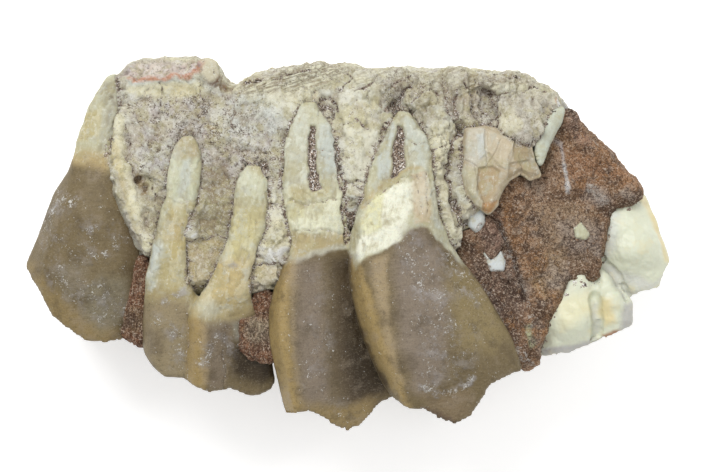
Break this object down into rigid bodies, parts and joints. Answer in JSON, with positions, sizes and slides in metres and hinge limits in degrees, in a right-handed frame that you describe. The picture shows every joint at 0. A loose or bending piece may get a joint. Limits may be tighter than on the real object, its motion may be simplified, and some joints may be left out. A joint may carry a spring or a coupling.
{
  "type": "fossil oreodont jaw section",
  "caption": "Broken section of a fossil oreodont upper jaw lying on its palate, with brown and cream cheek teeth, roots shown in the bone, and red sandstone.",
  "frame": {"origin": "below the middle of the fossil's bounding box, on the surface it rests on", "axes": "+X along the tooth row towards the back of the mouth, +Y from the crowns to the roots, +Z from the palate to the cheek side, up as it lies"},
  "size_m": [0.05, 0.0289, 0.0168],
  "materials": {
    "bone": "rough weathered fossil bone, grey-cream with brown grit in its cracks",
    "brown_enamel": "satin brown-grey enamel with amber ridges and chalky specks, cream roots",
    "cream_enamel": "satin cream enamel",
    "red_sandstone": "rough fine-grained red-brown sandstone",
    "dentine": "broken tan dentine",
    "white_enamel": "pale broken enamel"
  },
  "bodies": {
    "root": {"jawbone": "bone", "premolar": "brown_enamel", "first_molar": "brown_enamel", "second_molar": "brown_enamel", "third_molar": "cream_enamel", "matrix_block": "red_sandstone", "matrix_wedge_front": "red_sandstone", "matrix_wedge_middle": "red_sandstone", "tooth_fragment": "dentine", "enamel_plate": "white_enamel", "enamel_chip_1": "white_enamel", "enamel_chip_2": "white_enamel", "enamel_chip_3": "white_enamel"}
  },
  "joints": []
}
